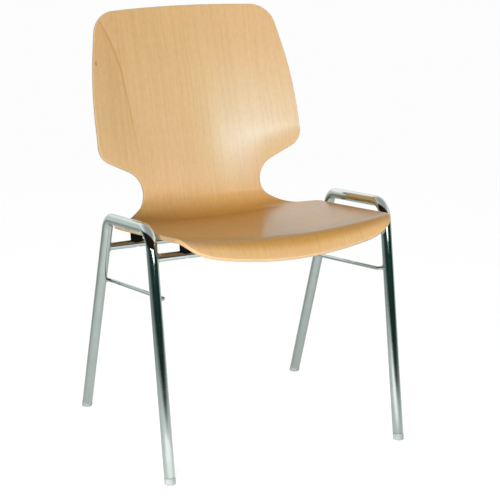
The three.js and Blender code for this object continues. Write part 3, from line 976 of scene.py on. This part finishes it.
def beech_material():
    """Lacquered beech veneer: grain along the pattern's length, and the plies showing at the edge."""
    n = Nodes(bpy.data.materials.new("beech_veneer"))
    pattern = n.add("ShaderNodeAttribute", attribute_name="pattern").outputs["Vector"]
    split = n.add("ShaderNodeSeparateXYZ", {"Vector": pattern})
    across, along, depth = split.outputs[0], split.outputs[1], split.outputs[2]
    front = n.math("LESS_THAN", depth, MM * PLY / 2)

    # A slow sideways wander, so that no grain line runs quite straight.
    wander = n.noise(n.stretched(pattern, (3.0, 1.6, 0.0)))
    shift = n.math("MULTIPLY", n.math("SUBTRACT", wander, 0.5), 0.05)
    # The two faces are cut from different leaves of veneer, so their figures differ.
    leaf = n.math("MULTIPLY", depth, LEAF_SHIFT)
    sideways = n.math("ADD", n.math("ADD", across, shift), leaf)
    grain = n.add("ShaderNodeCombineXYZ", {"X": sideways, "Y": along}).outputs[0]

    colour, streak, hair = veneer_figure(n, grain)
    # Painted shade along the shell's length.
    colour = painted_shade_along(n, colour, along)
    line_across = n.math("ADD", across, n.math("MULTIPLY", shift, 0.1))
    colour = growth_line(n, colour, line_across, along, front)
    colour = pin_knot(n, colour, pattern, front)
    colour = ray_flecks(n, colour, grain)
    # The underside of the seat is darkened and cooled as painted shade; behind the back it is nearly the
    # same, a little darker.
    under = n.math("GREATER_THAN", depth, MM * (PLY - 0.3))
    colour = n.tinted(colour, n.ramp(along, UNDERSIDE_SHADE_TINTS), under)
    inside = n.ramp(
        n.math("MULTIPLY", depth, 1.0 / (MM * PLY)),
        [(0.0, 0.0), (0.03, 0.0), (0.06, 1.0), (0.94, 1.0), (0.97, 0.0)],
    )
    colour = n.mix(inside, colour, sawn_edge(n, pattern, depth))

    pores = n.bump(streak, 0.06, 0.0003)
    n.surface({
        "Base Color": colour,
        "Roughness": 0.45,
        "IOR": 1.5,
        "Specular IOR Level": 0.25,
        "Coat Weight": 0.65,
        "Coat Roughness": 0.21,
        "Normal": n.bump(hair, 0.05, 0.0002, pores),
    })
    return n.owner


# ---- metals and plastics --------------------------------------------------------------------------
# A pair holds the two tones that a finish varies between.
CHROME = ((0.445, 0.495, 0.475), (0.485, 0.535, 0.515))
WELD_DULLNESS = 0.09
ZINC = ((0.36, 0.36, 0.35), (0.52, 0.51, 0.48))
BLACK = ((0.002, 0.003, 0.003), (0.004, 0.005, 0.005))
PALE = ((0.36, 0.41, 0.39), (0.45, 0.50, 0.47))


def chrome_material(name, dull=0.0):
    """Bright plating with a faint haze and the drawn tube's slight ripple; dull roughens it."""
    n = Nodes(bpy.data.materials.new(name))
    place = n.place()
    haze = n.noise(place, 38.0, 3.0)
    ripple = n.noise(n.stretched(place, (1.0, 1.0, 0.35)), 160.0)
    n.surface({
        "Base Color": n.between(haze, CHROME),
        "Metallic": 1.0,
        "Roughness": n.spread(haze, 0.035 + dull, 0.075 + dull),
        "Normal": n.bump(ripple, 0.04, 0.0004),
    })
    return n.owner


def plastic_material(name, colours, roughness, gloss, subsurface=0.0):
    """Moulded plastic: a faint cloudiness and a fine sparked grain."""
    n = Nodes(bpy.data.materials.new(name))
    place = n.place()
    grain = n.noise(place, 1500.0)
    n.surface({
        "Base Color": n.between(n.noise(place, 90.0, 3.0), colours),
        "Roughness": n.spread(grain, roughness - 0.07, roughness + 0.07),
        "Specular IOR Level": gloss,
        "Subsurface Weight": subsurface,
        "Subsurface Radius": (0.004, 0.004, 0.004),
        "Normal": n.bump(grain, 0.15, 0.0002),
    })
    return n.owner


def zinc_material():
    """Zinc plating, cloudy and half dull."""
    n = Nodes(bpy.data.materials.new("zinc_plate"))
    place = n.place()
    n.surface({
        "Base Color": n.between(n.noise(place, 400.0, 3.0), ZINC),
        "Metallic": 1.0,
        "Roughness": n.between(n.noise(place, 900.0), (0.25, 0.42)),
    })
    return n.owner


# ---- build ----------------------------------------------------------------------------------------
beech = beech_material()
chrome = chrome_material("chrome_plate")
chrome_weld = chrome_material("chrome_weld", WELD_DULLNESS)
black = plastic_material("black_spacer", BLACK, roughness=0.62, gloss=0.02)
pale = plastic_material("pale_glide", PALE, roughness=0.4, gloss=0.4, subsurface=0.15)
zinc = zinc_material()

shell = build_shell(beech)
bpy.context.view_layer.update()
shell_tree = BVHTree.FromObject(shell, bpy.context.evaluated_depsgraph_get())
for label, side in SIDES:
    build_side_frame(label, side, chrome)
    build_side_rod(label, side, chrome, chrome_weld)
    build_glide(f"front_{label}", side, FOOT_FRONT_Y, CORNER_FRONT, pale)
    build_glide(f"rear_{label}", side, FOOT_REAR_Y, CORNER_REAR, pale)
for place, row, line in (
    ("front", front_leg(BAR_FRONT_Z), FRONT_LINE), ("rear", rear_leg(BAR_REAR_Z), REAR_LINE),
):
    build_cross_tube(place, row, line, chrome, chrome_weld)
    for label, side in SIDES:
        build_fixing(f"{place}_{label}", side * FIXING_X, row, shell_tree, black, zinc)


# ---- stage, light and camera, in metres -----------------------------------------------------------
# The floor's glow and fade go by distance from its middle, as a share of its radius.
FLOOR_MIDDLE = (-0.3, -0.8, 0.0)
FLOOR_RADIUS = 3.4
FLOOR_TONES = (0.80, 0.82)
FLOOR_GLOW = [(0.1, 1.05), (0.17, 0.7)]
FLOOR_FADE = [
    (0.12, 1.0), (0.19, 0.7), (0.26, 0.51), (0.32, 0.34), (0.38, 0.2), (0.5, 0.08), (0.65, 0.03),
    (1.0, 0.0),
]

# The camera sees the backdrop, and matt surfaces get only a share of the world's light.
BACKDROP = (0.98, 0.98, 0.98)
DIFFUSE_SHARE = 0.27

# The world's colours at degrees above the horizon, in the pale part of the room and in the dim part.
# The pale part lies towards PALE_SIDE, and its edge is soft.
PALE_SIDE = (0.57, 0.82, 0.9)
PALE_EDGE = (0.24, 0.42)
PALE_ROOM = [
    (-50.0, (0.70, 0.73, 0.72)), (-12.0, (0.86, 0.92, 0.90)), (11.0, (0.88, 0.97, 0.93)),
    (19.0, (1.60, 1.60, 1.54)), (27.0, (1.2, 1.22, 1.2)), (53.0, (0.6, 0.6, 0.6)),
]
DIM_ROOM = [
    (-50.0, (0.56, 0.60, 0.58)), (-24.0, (0.34, 0.38, 0.36)), (-12.0, (0.28, 0.32, 0.31)),
    (-6.0, (0.07, 0.11, 0.1)), (-3.0, (0.015, 0.035, 0.03)), (1.0, (0.022, 0.065, 0.06)),
    (6.0, (0.014, 0.011, 0.009)), (45.0, (0.04, 0.018, 0.013)),
]

# Points that the lamps aim at.
CHAIR_MIDDLE = (0.0, 0.0, 0.5)
LOW_ON_BACK = (0.16, 0.17, 0.58)
SEAT_FRONT = (0.0, -0.17, 0.45)
GLOW_COLOUR = (0.4, 0.82, 1.0)

LENS = 107.9
SENSOR_WIDTH = 36.0
CAMERA_AT = (-1.2796, -2.6900, 1.1902)
CAMERA_TARGET = (0.0279, -0.0200, 0.3729)


def floor_material():
    """A pale floor that fades out with distance, and is clear from below."""
    n = Nodes(bpy.data.materials.new("pale_floor"))
    place = n.place()
    far = n.math("MULTIPLY", n.size(place), 1.0 / FLOOR_RADIUS)
    below = n.add("ShaderNodeNewGeometry").outputs["Backfacing"]
    above = n.math("SUBTRACT", 1.0, below)
    n.surface({
        "Base Color": n.between(n.noise(place, 2.0, 3.0), FLOOR_TONES),
        "Roughness": 0.7,
        "Specular IOR Level": 0.1,
        "Emission Color": (1.0, 1.0, 1.0),
        "Emission Strength": n.ramp(far, FLOOR_GLOW),
        "Alpha": n.math("MULTIPLY", n.ramp(far, FLOOR_FADE), above),
    })
    return n.owner


def build_floor():
    mesh = bpy.data.meshes.new("floor")
    bm = bmesh.new()
    bmesh.ops.create_circle(bm, cap_ends=True, segments=96, radius=FLOOR_RADIUS)
    bm.to_mesh(mesh)
    bm.free()
    mesh.materials.append(floor_material())
    floor = bpy.data.objects.new("floor", mesh)
    floor.location = FLOOR_MIDDLE
    scene.collection.objects.link(floor)


def build_world():
    """A pale room behind, towards the sitter's left, and a dim studio in front."""
    n = Nodes(bpy.data.worlds.new("studio"), "Background")
    scene.world = n.owner
    direction = n.add("ShaderNodeTexCoord").outputs["Generated"]
    lean = n.add("ShaderNodeVectorMath", {0: direction, 1: PALE_SIDE}, operation="DOT_PRODUCT")
    pale_here = n.spread(lean.outputs["Value"], 0.0, 1.0, PALE_EDGE, "SMOOTHSTEP")
    up = n.add("ShaderNodeSeparateXYZ", {"Vector": direction}).outputs["Z"]
    height = n.math("ADD", n.math("MULTIPLY", up, 0.5), 0.5)

    def by_height(stops):
        """A colour ramp from straight down to straight up."""
        placed = [(0.5 + 0.5 * math.sin(math.radians(degrees)), colour) for degrees, colour in stops]
        return n.ramp(height, placed)

    ray = n.add("ShaderNodeLightPath").outputs
    n.surface({
        "Color": n.mix(pale_here, by_height(DIM_ROOM), by_height(PALE_ROOM)),
        "Strength": n.spread(ray["Is Diffuse Ray"], 1.0, DIFFUSE_SHARE, (0.0, 1.0)),
    })
    backdrop = n.add("ShaderNodeBackground", {"Color": BACKDROP, "Strength": 1.0})
    seen = n.add(
        "ShaderNodeMixShader",
        {0: ray["Is Camera Ray"], 1: n.shader.outputs[0], 2: backdrop.outputs[0]},
    )
    n.put(n.tree.nodes["World Output"].inputs["Surface"], seen.outputs[0])


def area_light(name, azimuth, elevation, distance, size, power, aim=CHAIR_MIDDLE):
    """A rectangular light seen from the aim point at this azimuth and elevation, in degrees."""
    a = math.radians(azimuth)
    e = math.radians(elevation)
    towards = Vector((math.sin(a) * math.cos(e), -math.cos(a) * math.cos(e), math.sin(e)))
    data = bpy.data.lights.new(name, "AREA")
    data.shape = "RECTANGLE"
    data.size, data.size_y = size
    data.energy = power
    lamp = bpy.data.objects.new(name, data)
    lamp.location = Vector(aim) + towards * distance
    lamp.rotation_euler = (-towards).to_track_quat("-Z", "Y").to_euler()
    scene.collection.objects.link(lamp)
    return lamp


def build_lights():
    """Two soft lamps, a bluish one for the sheen low on the back, and a thin strip for the tubes."""
    key = area_light("key", azimuth=-38.0, elevation=9.0, distance=3.8, size=(1.0, 1.0), power=160.0)
    fill = area_light("fill", azimuth=165.0, elevation=5.0, distance=3.6, size=(1.4, 1.2), power=60.0)
    key.visible_glossy = False
    fill.visible_glossy = False
    glow = area_light(
        "glow", azimuth=4.5, elevation=19.0, distance=3.0, size=(1.1, 0.32), power=24.0,
        aim=LOW_ON_BACK,
    )
    glow.data.color = GLOW_COLOUR
    lacquered = bpy.data.collections.new("lacquered")
    lacquered.objects.link(shell)
    glow.light_linking.receiver_collection = lacquered
    area_light(
        "strip", azimuth=-25.0, elevation=2.0, distance=3.0, size=(3.6, 0.06), power=5.0,
        aim=SEAT_FRONT,
    )


def build_camera():
    data = bpy.data.cameras.new("camera")
    data.lens = LENS
    data.sensor_width = SENSOR_WIDTH
    camera = bpy.data.objects.new("camera", data)
    camera.location = CAMERA_AT
    view = Vector(CAMERA_TARGET) - camera.location
    camera.rotation_euler = view.to_track_quat("-Z", "Y").to_euler()
    scene.collection.objects.link(camera)
    bpy.context.scene.camera = camera


build_floor()
build_world()
build_lights()
build_camera()
scene.view_settings.view_transform = "Standard"
